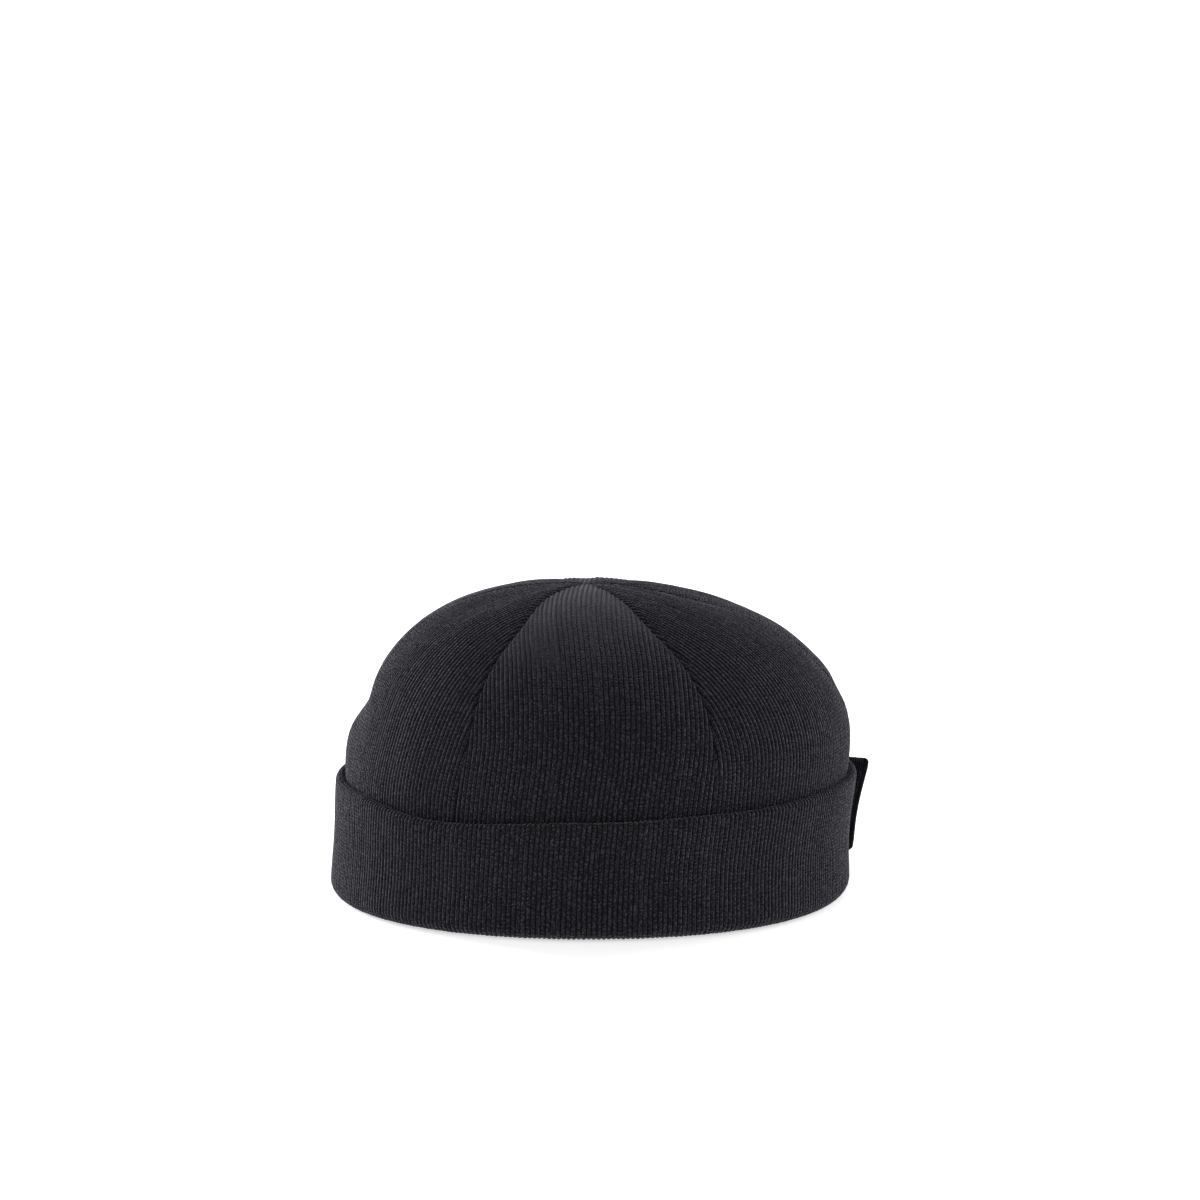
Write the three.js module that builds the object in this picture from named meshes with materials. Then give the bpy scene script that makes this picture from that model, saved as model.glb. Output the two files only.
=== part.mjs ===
// A brimless fisherman cap in ribbed cloth. Six gores are sewn into a soft dome, a band of double
// cloth is folded under at the rim and turned up round the dome as a cuff, and a strap crosses the
// back of the cuff, with its free end standing off on the right.
// Millimetres, +Z up, the front of the cap faces -Y. A turn is an angle round the head in degrees:
// 0 at the front, 90 at the right side (+X), 180 at the back.
import * as THREE from 'three';

const { smoothstep, lerp, clamp, degToRad, radToDeg, euclideanModulo } = THREE.MathUtils;

// The head opening, inside the hem
const HEAD_HALF_WIDTH = 86.5;
const HEAD_HALF_DEPTH = 96.3;
const PLAN_FULLNESS = 0.012;

// Cloth
const CROWN_WALL = 2.0;
const CUFF_WALL = 3.2;
const SEAM_GAP = 0.3;

// Crown
const CROWN_HEIGHT = 111;
const CROWN_WIDEST_HEIGHT = 45;
const CROWN_SWELL = 3.0;
const CROWN_SWAY = 5.0;
const DOME_SIDE_POWER = 2.3;
const DOME_TOP_POWER = 2.2;
const DIMPLE_DEPTH = 1.6;
const DIMPLE_REACH = 9;
const GORE_PUFF = 1.4;
const SEAM_DIP = 0.8;
const SEAM_DIP_REACH = 2.4;

// Cuff
const CUFF_HEIGHT = 42;
const CUFF_WAIST = 0.8;
const HEM_HEIGHT = 12;
const FOLD_WEB = 3.0;
const FOLD_INNER_RADIUS = 2.0;
const FOLD_OUTER_RADIUS = 4.0;

// Strap
const STRAP_WIDTH = 35;
const STRAP_RISE = 3.2;
const STRAP_END_RISE = 3.0;
const STRAP_WALL = 2.6;
const STRAP_FREE_TURN = 107;
const STRAP_LEAVES_TURN = 142;
const STRAP_SEWN_TURN = 205;
const STRAP_TOP_LIFT = 8.6;
const STRAP_BOTTOM_LIFT = 4.4;
const STRAP_CORNER = 3;

// How finely the cloth is faceted
const GORE_COLUMNS = 12;
const SKIRT_ROWS = 4;
const DOME_ROWS = 12;
const CUFF_SEGMENTS = 72;
const CUFF_ROWS = 5;
const ARC_DIVISIONS = 2;
const STRAP_COLUMNS = 24;

// The gores, each from its own seam to the next one.
const GORES = [
  { name: 'crown_gore_front', seam: -29 },
  { name: 'crown_gore_front_right', seam: 26 },
  { name: 'crown_gore_back_right', seam: 87 },
  { name: 'crown_gore_back', seam: 148 },
  { name: 'crown_gore_back_left', seam: 209 },
  { name: 'crown_gore_front_left', seam: 270 },
];

// The cuff as it was turned up by hand: height is a share of CUFF_HEIGHT.
const CUFF_TURNS = [
  { turn: 0, height: 0.96 },
  { turn: 30, height: 0.995 },
  { turn: 65, height: 1.035 },
  { turn: 100, height: 1.03 },
  { turn: 160, height: 0.99 },
  { turn: 210, height: 0.98 },
  { turn: 270, height: 0.995 },
  { turn: 298, height: 0.99 },
  { turn: 328, height: 0.905 },
];

// How the soft crown leans to the right on its way up: up is a share of CROWN_HEIGHT, in even
// steps, and lean a share of CROWN_SWAY.
const CROWN_LEANS = [
  { up: 0, lean: 0 },
  { up: 0.2, lean: 0.14 },
  { up: 0.4, lean: 0.52 },
  { up: 0.6, lean: 1 },
  { up: 0.8, lean: 0.66 },
  { up: 1, lean: -0.3 },
];

// Soft dents and swellings of the crown. up runs from the widest line (0) to the top (1), wide is
// in degrees, tall is a share like up, and out is a share of GORE_PUFF, negative for a dent.
const CROWN_DENTS = [
  { turn: 268, up: 0.09, wide: 20, tall: 0.08, out: 1.1 },
  { turn: 270, up: 0.21, wide: 18, tall: 0.07, out: -1.2 },
  { turn: 266, up: 0.5, wide: 20, tall: 0.12, out: 0.4 },
  { turn: 96, up: 0.24, wide: 14, tall: 0.05, out: -0.6 },
  { turn: 88, up: 0.38, wide: 16, tall: 0.1, out: -0.4 },
  { turn: 88, up: 0.76, wide: 34, tall: 0.15, out: -1.1 },
  { turn: 304, up: 0.76, wide: 14, tall: 0.14, out: -0.6 },
];

// The strap's rows, as shares of its width, closer together where its corners are rounded.
const STRAP_ROWS = [0, 0.02, 0.06, 0.2, 0.5, 0.8, 0.94, 0.98, 1];

// Sizes that follow from the ones above
const HEM_HALF_WIDTH = HEAD_HALF_WIDTH + CROWN_WALL;
const HEM_HALF_DEPTH = HEAD_HALF_DEPTH + CROWN_WALL;
const SKIRT_BOTTOM = HEM_HEIGHT + SEAM_GAP;
const DOME_RISE = CROWN_HEIGHT - CROWN_WIDEST_HEIGHT;
const CUFF_INSIDE = CROWN_SWELL + SEAM_GAP;
const CUFF_OUTSIDE = CUFF_INSIDE + CUFF_WALL;
const GORE_TIP_RADIUS = 2 * SEAM_GAP;
const FULL_TURN = 360;

// Colour and finish of the black ribbed cloth, which lies in shade on the strap
const crownCloth = new THREE.MeshStandardMaterial({ color: 0x201f24, roughness: 0.92, metalness: 0 });
const cuffCloth = new THREE.MeshStandardMaterial({ color: 0x211f25, roughness: 0.92, metalness: 0 });
const strapCloth = new THREE.MeshStandardMaterial({ color: 0x1c1b20, roughness: 0.92, metalness: 0 });

// The height of the cuff's top edge at a turn, eased from row to row of the table.
function cuffTop(turn) {
  const at = euclideanModulo(turn, FULL_TURN);
  const next = CUFF_TURNS.findIndex((row) => row.turn > at);
  const after = next < 0 ? { ...CUFF_TURNS[0], turn: FULL_TURN } : CUFF_TURNS[next];
  const before = CUFF_TURNS.at(next - 1 < 0 ? -1 : next - 1);
  return CUFF_HEIGHT * lerp(before.height, after.height, smoothstep(at, before.turn, after.turn));
}

// How far the soft cap has settled to the right at a height.
const leanCurve = new THREE.SplineCurve(CROWN_LEANS.map(({ up, lean }) => new THREE.Vector2(up, lean)));
function sway(z) {
  return CROWN_SWAY * leanCurve.getPoint(clamp(z / CROWN_HEIGHT, 0, 1)).y;
}

// The line where the crown is sewn to the hem, seen from above: an oval that is a little fuller
// between its four ends than an ellipse.
function sewnLine(turn) {
  const a = degToRad(turn);
  const x = (1 + PLAN_FULLNESS) * Math.sin(a) + PLAN_FULLNESS * Math.sin(3 * a);
  const y = (1 + PLAN_FULLNESS) * Math.cos(a) - PLAN_FULLNESS * Math.cos(3 * a);
  return new THREE.Vector3(HEM_HALF_WIDTH * x, -HEM_HALF_DEPTH * y, 0);
}

// The unit vector that points out of that oval, level with the floor.
function outward(turn) {
  const step = 0.01;
  const along = sewnLine(turn + step).sub(sewnLine(turn - step));
  return new THREE.Vector3(along.y, -along.x, 0).normalize();
}

// A point at a height, `out` outside the line where the crown is sewn to the hem.
function bandPoint(turn, z, out) {
  const point = sewnLine(turn).addScaledVector(outward(turn), out);
  return point.set(point.x + sway(z), point.y, z);
}

// The crown's smooth outer surface. v is 0 at the sewn lower edge, 1 at the widest line and 2 at
// the tip of the dome.
function smoothCrown(turn, v) {
  if (v < 1) {
    const z = lerp(SKIRT_BOTTOM, CROWN_WIDEST_HEIGHT, v);
    return bandPoint(turn, z, CROWN_SWELL * smoothstep(z, SKIRT_BOTTOM, CROWN_WIDEST_HEIGHT));
  }
  const slope = (v - 1) * Math.PI / 2;
  const share = Math.max(Math.cos(slope), 0) ** (2 / DOME_SIDE_POWER);
  const z = CROWN_WIDEST_HEIGHT + DOME_RISE * Math.sin(slope) ** (2 / DOME_TOP_POWER);
  const widest = sewnLine(turn).addScaledVector(outward(turn), CROWN_SWELL);
  return new THREE.Vector3(widest.x * share + sway(z), widest.y * share, z);
}

// The direction in which the crown's wall has its thickness.
function crownNormal(turn, v) {
  if (v < 1) return outward(turn);
  const step = 0.01;
  const along = smoothCrown(turn, v + step).sub(smoothCrown(turn, v));
  const across = smoothCrown(turn + step, v).sub(smoothCrown(turn - step, v));
  return across.cross(along).normalize();
}

// The dents and swellings at a place on the crown, in millimetres along its normal.
function dents(turn, v) {
  return CROWN_DENTS.reduce((sum, dent) => {
    const turned = euclideanModulo(turn - dent.turn + FULL_TURN / 2, FULL_TURN) - FULL_TURN / 2;
    const away = (turned / dent.wide) ** 2 + ((v - 1 - dent.up) / dent.tall) ** 2;
    return sum + dent.out * GORE_PUFF * Math.exp(-away);
  }, 0);
}

// A closed geometry from points and the triangles between them.
function geometryOf(points, faces) {
  const geometry = new THREE.BufferGeometry().setFromPoints(points);
  geometry.setIndex(faces);
  geometry.computeVertexNormals();
  return geometry;
}

// A closed sheet of cloth: place(i, j, depth) gives the point of column i and row j on its outer
// face, with depth 0, and on its inner face, with depth 1. Columns run with the turn, rows upward.
function sheet(columns, rows, place) {
  const points = [];
  const faces = [];
  const at = (i, j, depth) => (depth * (columns + 1) + i) * (rows + 1) + j;
  const quad = (a, b, c, d) => faces.push(a, b, c, a, c, d);
  for (const depth of [0, 1])
    for (let i = 0; i <= columns; i++)
      for (let j = 0; j <= rows; j++) points.push(place(i, j, depth));
  for (let i = 0; i < columns; i++)
    for (let j = 0; j < rows; j++) {
      quad(at(i, j, 0), at(i + 1, j, 0), at(i + 1, j + 1, 0), at(i, j + 1, 0));
      quad(at(i, j, 1), at(i, j + 1, 1), at(i + 1, j + 1, 1), at(i + 1, j, 1));
    }
  for (let i = 0; i < columns; i++) {
    quad(at(i, 0, 1), at(i + 1, 0, 1), at(i + 1, 0, 0), at(i, 0, 0));
    quad(at(i, rows, 0), at(i + 1, rows, 0), at(i + 1, rows, 1), at(i, rows, 1));
  }
  for (let j = 0; j < rows; j++) {
    quad(at(0, j, 0), at(0, j + 1, 0), at(0, j + 1, 1), at(0, j, 1));
    quad(at(columns, j, 1), at(columns, j + 1, 1), at(columns, j + 1, 0), at(columns, j, 0));
  }
  return geometryOf(points, faces);
}

// A closed ring through sections that run round with the turn, each one a closed outline.
function ring(sections) {
  const faces = [];
  const size = sections[0].length;
  sections.forEach((_, i) => {
    const here = i * size;
    const there = ((i + 1) % sections.length) * size;
    for (let j = 0; j < size; j++) {
      const k = (j + 1) % size;
      faces.push(here + j, there + j, there + k, here + j, there + k, here + k);
    }
  });
  return geometryOf(sections.flat(), faces);
}

// One gore, from its sewn lower edge to its tip, between two seams. The cloth puffs out between
// the seams and dips into them, and half of the seam gap is left on each side.
function gore(fromTurn, toTurn) {
  const rows = SKIRT_ROWS + DOME_ROWS;
  const middle = (fromTurn + toTurn) / 2;
  const half = (toTurn - fromTurn) / 2;
  const widestRadius = HEM_HALF_WIDTH + CROWN_SWELL;
  const tip = 1 + Math.acos((GORE_TIP_RADIUS / widestRadius) ** (DOME_SIDE_POWER / 2)) / (Math.PI / 2);
  return sheet(GORE_COLUMNS, rows, (i, j, depth) => {
    const v = j < SKIRT_ROWS ? j / SKIRT_ROWS : lerp(1, tip, (j - SKIRT_ROWS) / DOME_ROWS);
    const even = 2 * i / GORE_COLUMNS - 1;
    const across = Math.sign(even) * (1 - (1 - Math.abs(even)) ** 1.5);
    const place = smoothCrown(middle, v);
    const radius = Math.hypot(place.x - sway(place.z), place.y);
    const turn = middle + across * (half - radToDeg(Math.asin(SEAM_GAP / 2 / radius)));
    const fromSeam = degToRad((1 - Math.abs(across)) * half) * radius;
    const dip = SEAM_DIP * Math.exp(-((fromSeam / SEAM_DIP_REACH) ** 2));
    const puff = GORE_PUFF * smoothstep(v, 1, 1.35) * (radius / widestRadius) * (1 - across * across);
    const dimple = DIMPLE_DEPTH * Math.exp(-((radius / DIMPLE_REACH) ** 2));
    const out = puff - dip - dimple + dents(turn, v) - depth * CROWN_WALL;
    return smoothCrown(turn, v).addScaledVector(crownNormal(turn, v), out);
  });
}

// How far the cuff draws in between its fold and its top edge.
function cuffWaist(turn, z) {
  return CUFF_WAIST * Math.sin(Math.PI * clamp(z / cuffTop(turn), 0, 1)) ** 2;
}

// The cuff's section at a turn: along the flat bottom of the fold, up the outside, over the rounded
// top edge, down the inside, round the inside of the fold, up the hem and down its inner face.
function cuffSection(turn) {
  const topCentre = cuffTop(turn) - CUFF_WALL / 2;
  const foldRadius = CUFF_INSIDE / 2;
  const foldCentre = FOLD_WEB + foldRadius;
  const section = new THREE.Path().moveTo(FOLD_INNER_RADIUS - CROWN_WALL, 0);
  section.lineTo(CUFF_OUTSIDE - FOLD_OUTER_RADIUS, 0);
  section.absarc(CUFF_OUTSIDE - FOLD_OUTER_RADIUS, FOLD_OUTER_RADIUS, FOLD_OUTER_RADIUS, -Math.PI / 2, 0);
  for (let row = 1; row <= CUFF_ROWS; row++)
    section.lineTo(CUFF_OUTSIDE, lerp(FOLD_OUTER_RADIUS, topCentre, row / CUFF_ROWS));
  section.absarc(CUFF_INSIDE + CUFF_WALL / 2, topCentre, CUFF_WALL / 2, 0, Math.PI);
  for (let row = 1; row <= CUFF_ROWS; row++)
    section.lineTo(CUFF_INSIDE, lerp(topCentre, foldCentre, row / CUFF_ROWS));
  section.absarc(foldRadius, foldCentre, foldRadius, 0, -Math.PI, true);
  section.lineTo(0, HEM_HEIGHT);
  section.lineTo(-CROWN_WALL, HEM_HEIGHT);
  section.absarc(FOLD_INNER_RADIUS - CROWN_WALL, FOLD_INNER_RADIUS, FOLD_INNER_RADIUS, Math.PI, Math.PI * 1.5);
  const outline = section.getPoints(ARC_DIVISIONS);
  const corners = outline.filter((point, i) => point.distanceTo(outline.at(i - 1)) > 1e-6);
  return corners.map(({ x: out, y: z }) => {
    const drawnIn = cuffWaist(turn, z) * clamp(out / CUFF_INSIDE, 0, 1);
    return bandPoint(turn, z, out - drawnIn);
  });
}

function cuff() {
  const turns = Array.from({ length: CUFF_SEGMENTS }, (_, i) => FULL_TURN * i / CUFF_SEGMENTS);
  return ring(turns.map(cuffSection));
}

// The strap, from its free end to its sewn end. It lies on the cuff as far as the turn where it
// leaves it, and its free end curls up and stands off, more at its upper edge. Its free corners
// are rounded.
function strap() {
  const turnPerLength = radToDeg(1 / (HEM_HALF_DEPTH + CUFF_OUTSIDE));
  return sheet(STRAP_COLUMNS, STRAP_ROWS.length - 1, (i, j, depth) => {
    const fromEdge = STRAP_WIDTH * Math.min(STRAP_ROWS[j], 1 - STRAP_ROWS[j]);
    const short = Math.max(STRAP_CORNER - fromEdge, 0);
    const cornerCut = STRAP_CORNER - Math.sqrt(STRAP_CORNER ** 2 - short ** 2);
    const freeTurn = STRAP_FREE_TURN + cornerCut * turnPerLength;
    const turn = lerp(freeTurn, STRAP_SEWN_TURN, i / STRAP_COLUMNS);
    const loose = clamp((STRAP_LEAVES_TURN - turn) / (STRAP_LEAVES_TURN - STRAP_FREE_TURN), 0, 1);
    const z = STRAP_RISE + STRAP_END_RISE * loose ** 3 + STRAP_WIDTH * STRAP_ROWS[j];
    const lift = lerp(STRAP_BOTTOM_LIFT, STRAP_TOP_LIFT, STRAP_ROWS[j]) * loose ** 1.6;
    const outside = CUFF_OUTSIDE - cuffWaist(turn, z) + SEAM_GAP + lift;
    return bandPoint(turn, z, outside + (1 - depth) * STRAP_WALL);
  });
}

function piece(name, geometry, material) {
  const mesh = new THREE.Mesh(geometry, material);
  mesh.name = name;
  return mesh;
}

const cap = new THREE.Group();
GORES.forEach(({ name, seam }, i) => {
  const nextSeam = i + 1 < GORES.length ? GORES[i + 1].seam : GORES[0].seam + FULL_TURN;
  cap.add(piece(name, gore(seam, nextSeam), crownCloth));
});
cap.add(piece('cuff', cuff(), cuffCloth));
cap.add(piece('back_strap', strap(), strapCloth));

// The origin is on the floor, below the middle of the whole cap.
const extent = new THREE.Box3().setFromObject(cap);
const middle = extent.getCenter(new THREE.Vector3());
cap.position.set(-middle.x, -middle.y, -extent.min.z);

export default cap;
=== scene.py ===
# %% [markdown]
# # A brimless fisherman cap in black ribbed cloth
#
# Six gores are sewn into a soft dome. A band of double cloth is folded under at the rim and turned
# up round the dome as a cuff, and a strap crosses the back of the cuff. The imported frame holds
# these pieces as plain solids. Here each one is dressed as real ribbed knit: every rib is in the
# mesh, and the small stitches on it are in the material.

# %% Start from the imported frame
import math
import bpy
import numpy as np
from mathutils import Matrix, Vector


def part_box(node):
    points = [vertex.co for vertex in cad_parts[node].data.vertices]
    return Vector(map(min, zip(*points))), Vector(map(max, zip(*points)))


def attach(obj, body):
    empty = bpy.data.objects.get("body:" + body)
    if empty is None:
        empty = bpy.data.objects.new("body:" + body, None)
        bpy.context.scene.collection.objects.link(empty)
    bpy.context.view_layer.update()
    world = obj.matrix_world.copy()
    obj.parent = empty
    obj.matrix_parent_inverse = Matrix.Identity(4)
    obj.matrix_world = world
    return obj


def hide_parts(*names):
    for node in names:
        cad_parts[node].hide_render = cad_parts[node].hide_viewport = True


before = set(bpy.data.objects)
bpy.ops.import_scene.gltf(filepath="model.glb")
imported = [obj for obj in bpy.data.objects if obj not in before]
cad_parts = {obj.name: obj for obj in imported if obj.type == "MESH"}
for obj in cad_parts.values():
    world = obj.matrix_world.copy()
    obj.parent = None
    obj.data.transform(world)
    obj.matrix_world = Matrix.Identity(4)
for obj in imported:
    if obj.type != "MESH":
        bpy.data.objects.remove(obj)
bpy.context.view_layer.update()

bpy.ops.object.select_all(action="DESELECT")
print("nodes to dress:", sorted(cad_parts))

# %% [markdown]
# ## The camera
#
# A camera is an object with a lens. It could be placed by hand in the viewport, but here the
# photograph's view was worked out: level with the front, a little to the right, and from slightly
# above. The camera looks past the cap at a point above it, because the cap is low in the picture.

# %% Camera
AIM = Vector((0.0, 0.0, 0.053))
CAMERA_TURN = math.radians(1.5)
CAMERA_RISE = math.radians(8.75)
CAMERA_DISTANCE = 1.30
LOOK_ABOVE_AIM = 0.0512
LOOK_LEFT_OF_AIM = 0.0010
LENS_MM = 106.1
SENSOR_MM = 36.0

back = Vector((
    math.sin(CAMERA_TURN) * math.cos(CAMERA_RISE),
    -math.cos(CAMERA_TURN) * math.cos(CAMERA_RISE),
    math.sin(CAMERA_RISE),
))
right = Vector((math.cos(CAMERA_TURN), math.sin(CAMERA_TURN), 0.0))
up = back.cross(right)
eye = AIM + back * CAMERA_DISTANCE
looked_at = AIM + up * LOOK_ABOVE_AIM - right * LOOK_LEFT_OF_AIM
bpy.ops.object.camera_add(location=eye)
camera = bpy.context.object
camera.name = "photo_camera"
camera.rotation_euler = (looked_at - eye).to_track_quat("-Z", "Y").to_euler()
camera.data.lens = LENS_MM
camera.data.sensor_width = SENSOR_MM
bpy.context.scene.camera = camera
print("camera at", [round(value, 3) for value in eye])

# %% [markdown]
# ## The sizes of the cap
#
# The cloth follows the same lines as the solids, so the same sizes come first. All are in
# millimetres. A turn is an angle round the head in degrees: 0 at the front (-Y), 90 at the right
# (+X), 180 at the back.

# %% Sizes
MM = 0.001
HEAD_HALF_WIDTH = 86.5
HEAD_HALF_DEPTH = 96.3
PLAN_FULLNESS = 0.012
CROWN_WALL = 2.0
CUFF_WALL = 3.2
SEAM_GAP = 0.3
CROWN_HEIGHT = 111.0
CROWN_WIDEST_HEIGHT = 45.0
CROWN_SWELL = 3.0
CROWN_SWAY = 5.0
DOME_SIDE_POWER = 2.3
DOME_TOP_POWER = 2.2
DIMPLE_DEPTH = 0.3
DIMPLE_REACH = 9.0
GORE_PUFF = 1.4
SEAM_DIP = 0.45
SEAM_DIP_REACH = 2.4
CUFF_HEIGHT = 42.0
CUFF_WAIST = 0.8
HEM_HEIGHT = 12.0
FOLD_WEB = 3.0
FOLD_INNER_RADIUS = 2.0
FOLD_OUTER_RADIUS = 4.0
STRAP_WIDTH = 35.0
STRAP_RISE = 3.2
STRAP_END_RISE = 3.0
STRAP_WALL = 2.6
STRAP_FREE_TURN = 107.0
STRAP_LEAVES_TURN = 142.0
STRAP_SEWN_TURN = 205.0
STRAP_TOP_LIFT = 8.6
STRAP_BOTTOM_LIFT = 4.4
STRAP_CORNER = 3.0

GORE_SEAMS = {
    "crown_gore_front": (-29, 26),
    "crown_gore_front_right": (26, 87),
    "crown_gore_back_right": (87, 148),
    "crown_gore_back": (148, 209),
    "crown_gore_back_left": (209, 270),
    "crown_gore_front_left": (270, 331),
}
CUFF_TURNS = [0, 30, 65, 100, 160, 210, 270, 298, 328, 360]
CUFF_SHARES = [0.96, 0.995, 1.035, 1.03, 0.99, 0.98, 0.995, 0.99, 0.905, 0.96]
CROWN_LEANS = np.array([0, 0.14, 0.52, 1, 0.66, -0.3])
# turn, share of the dome's way up, width in degrees, height as a share, depth as a share of a puff
CROWN_DENTS = [
    (268, 0.09, 20, 0.08, 1.1),
    (270, 0.21, 18, 0.07, -1.2),
    (266, 0.5, 20, 0.12, 0.4),
    (96, 0.24, 14, 0.05, -0.6),
    (88, 0.38, 16, 0.1, -0.4),
    (88, 0.76, 34, 0.15, -1.1),
    (304, 0.76, 14, 0.14, -0.6),
]

HEM_HALF_WIDTH = HEAD_HALF_WIDTH + CROWN_WALL
HEM_HALF_DEPTH = HEAD_HALF_DEPTH + CROWN_WALL
SKIRT_BOTTOM = HEM_HEIGHT + SEAM_GAP
CUFF_INSIDE = CROWN_SWELL + SEAM_GAP
CUFF_OUTSIDE = CUFF_INSIDE + CUFF_WALL
print("cuff outside the hem by", CUFF_OUTSIDE, "mm")


# %% [markdown]
# ## The lines that the cloth follows
#
# Seen from above, the cap is an oval, a little fuller than an ellipse. A point of the cuff or strap
# is given by its turn, its height and how far it is outside the oval. The soft cap has settled
# sideways on its way up, which a smooth curve through a few leans gives.

# %% The oval and the lean
def eased(value, low, high):
    share = np.clip((value - low) / (high - low), 0, 1)
    return share * share * (3 - 2 * share)


def sewn_line(turn):
    a = np.radians(turn)
    x = (1 + PLAN_FULLNESS) * np.sin(a) + PLAN_FULLNESS * np.sin(3 * a)
    y = (1 + PLAN_FULLNESS) * np.cos(a) - PLAN_FULLNESS * np.cos(3 * a)
    return np.stack([HEM_HALF_WIDTH * x, -HEM_HALF_DEPTH * y], -1)


def outward(turn):
    along = sewn_line(turn + 0.01) - sewn_line(turn - 0.01)
    normal = np.stack([along[..., 1], -along[..., 0]], -1)
    return normal / np.linalg.norm(normal, axis=-1, keepdims=True)


def sway(z):
    """The lean at a height, by a curve that passes smoothly through the table's leans."""
    last = len(CROWN_LEANS) - 1
    place = np.clip(z / CROWN_HEIGHT, 0, 1) * last
    row = np.minimum(np.floor(place).astype(int), last - 1)
    t = place - row
    p0, p1, p2, p3 = (CROWN_LEANS[np.clip(row + k, 0, last)] for k in (-1, 0, 1, 2))
    start, end = (p2 - p0) / 2, (p3 - p1) / 2
    cubic = (2 * p1 - 2 * p2 + start + end) * t + (-3 * p1 + 3 * p2 - 2 * start - end)
    return CROWN_SWAY * ((cubic * t + start) * t + p1)


def band_point(turn, z, out):
    turn, z, out = np.broadcast_arrays(turn, z, out)
    flat = sewn_line(turn) + outward(turn) * out[..., None]
    return np.stack([flat[..., 0] + sway(z), flat[..., 1], z], -1)


def cuff_top(turn):
    at = np.mod(turn, 360)
    row = np.clip(np.searchsorted(CUFF_TURNS, at, side="right") - 1, 0, len(CUFF_TURNS) - 2)
    turns, shares = np.array(CUFF_TURNS), np.array(CUFF_SHARES)
    step = eased(at, turns[row], turns[row + 1])
    return CUFF_HEIGHT * (shares[row] + (shares[row + 1] - shares[row]) * step)


def cuff_waist(turn, z):
    return CUFF_WAIST * np.sin(np.pi * np.clip(z / cuff_top(turn), 0, 1)) ** 2


all_turns = np.arange(0, 360, 5.0)
fold = band_point(all_turns, FOLD_OUTER_RADIUS, CUFF_OUTSIDE)
low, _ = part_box("cuff")
# The frame stands over the middle of the whole cap, so the cloth moves by the same amount.
TO_FRAME = np.array([low.x / MM - fold[:, 0].min(), low.y / MM - fold[:, 1].min(), 0])
print("from the oval's middle to the frame's, in mm:", TO_FRAME.round(2))


# %% [markdown]
# ## The crown's smooth form
#
# The crown rises straight out of the cuff to its widest line and then closes over as a dome. Its
# place is given by a turn and by v: 0 at the sewn edge, 1 at the widest line, 2 at the top. Soft
# dents and swellings are added where the real crown has them.

# %% The dome
def dome_share(v):
    """How wide the dome is at v, as a share of its widest line."""
    slope = np.clip(v - 1, 0, 1) * np.pi / 2
    return np.maximum(np.cos(slope), 0) ** (2 / DOME_SIDE_POWER)


def smooth_crown(turn, v):
    turn, v = np.broadcast_arrays(turn, v)
    skirt_z = SKIRT_BOTTOM + (CROWN_WIDEST_HEIGHT - SKIRT_BOTTOM) * np.clip(v, 0, 1)
    swell = CROWN_SWELL * eased(skirt_z, SKIRT_BOTTOM, CROWN_WIDEST_HEIGHT)
    skirt = band_point(turn, skirt_z, swell)
    slope = np.clip(v - 1, 0, 1) * np.pi / 2
    rise = np.maximum(np.sin(slope), 0) ** (2 / DOME_TOP_POWER)
    z = CROWN_WIDEST_HEIGHT + (CROWN_HEIGHT - CROWN_WIDEST_HEIGHT) * rise
    widest = sewn_line(turn) + outward(turn) * CROWN_SWELL
    share = dome_share(v)
    dome = np.stack([widest[..., 0] * share + sway(z), widest[..., 1] * share, z], -1)
    return np.where((v < 1)[..., None], skirt, dome)


def dents(turn, v):
    depth = np.zeros(np.broadcast(turn, v).shape)
    for at, rise, wide, tall, out in CROWN_DENTS:
        turned = np.mod(turn - at + 180, 360) - 180
        depth += out * GORE_PUFF * np.exp(-((turned / wide) ** 2 + ((v - 1 - rise) / tall) ** 2))
    return depth


def normals_of(points, closed=(False, False)):
    """The outward normals of a grid of points, rows by columns."""
    slopes = []
    for axis, ring in enumerate(closed):
        if ring:
            slopes.append(np.roll(points, -1, axis) - np.roll(points, 1, axis))
        else:
            slopes.append(np.gradient(points, axis=axis))
    normal = np.cross(slopes[1], slopes[0])
    return normal / np.maximum(np.linalg.norm(normal, axis=-1, keepdims=True), 1e-12)


print("top of the dome at", smooth_crown(np.array(0.0), np.array(2.0))[2], "mm")

# %% [markdown]
# ## Ribs in the mesh
#
# Ribbed knit is a row of soft ridges with narrow valleys between them. A texture could fake them,
# but their shade, and the teeth that they make along a seam, only look right when they are real
# relief. Each rib gets six columns of the grid, and a profile gives their heights. The ribs aren't
# all alike: each has its own height, and they wander a little.

# %% Rib relief
RIB_PITCH = 1.745
RIB_DEPTH = 0.5
RIB_COLUMNS = 6
RIB_PROFILE = np.array([0.0, 0.66, 0.93, 1.0, 0.93, 0.66])
RIB_MIDDLE = 0.6
RIB_UNEVENNESS = 0.12
RIB_WANDER = 0.05
# Lengths of the waves in which ribs wander, and how these differ from rib to rib
WANDER_WAVES = (43.0, 23.0)
WANDER_SPREAD = 3.1
WANDER_SHIFT = 2.0
# The UV map holds ribs and millimetres as shares of these
KNIT_RIBS = 400
KNIT_LENGTH = 200.0


def rib_heights(columns, seed):
    """The height of each column of a ribbed grid over the middle of the relief."""
    ribs = math.ceil(columns / RIB_COLUMNS)
    uneven = 1 + RIB_UNEVENNESS * np.random.default_rng(seed).uniform(-1, 1, ribs + 1)
    column = np.arange(columns)
    profile = RIB_PROFILE[column % RIB_COLUMNS]
    return RIB_DEPTH * (profile * uneven[column // RIB_COLUMNS] - RIB_MIDDLE)


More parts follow.
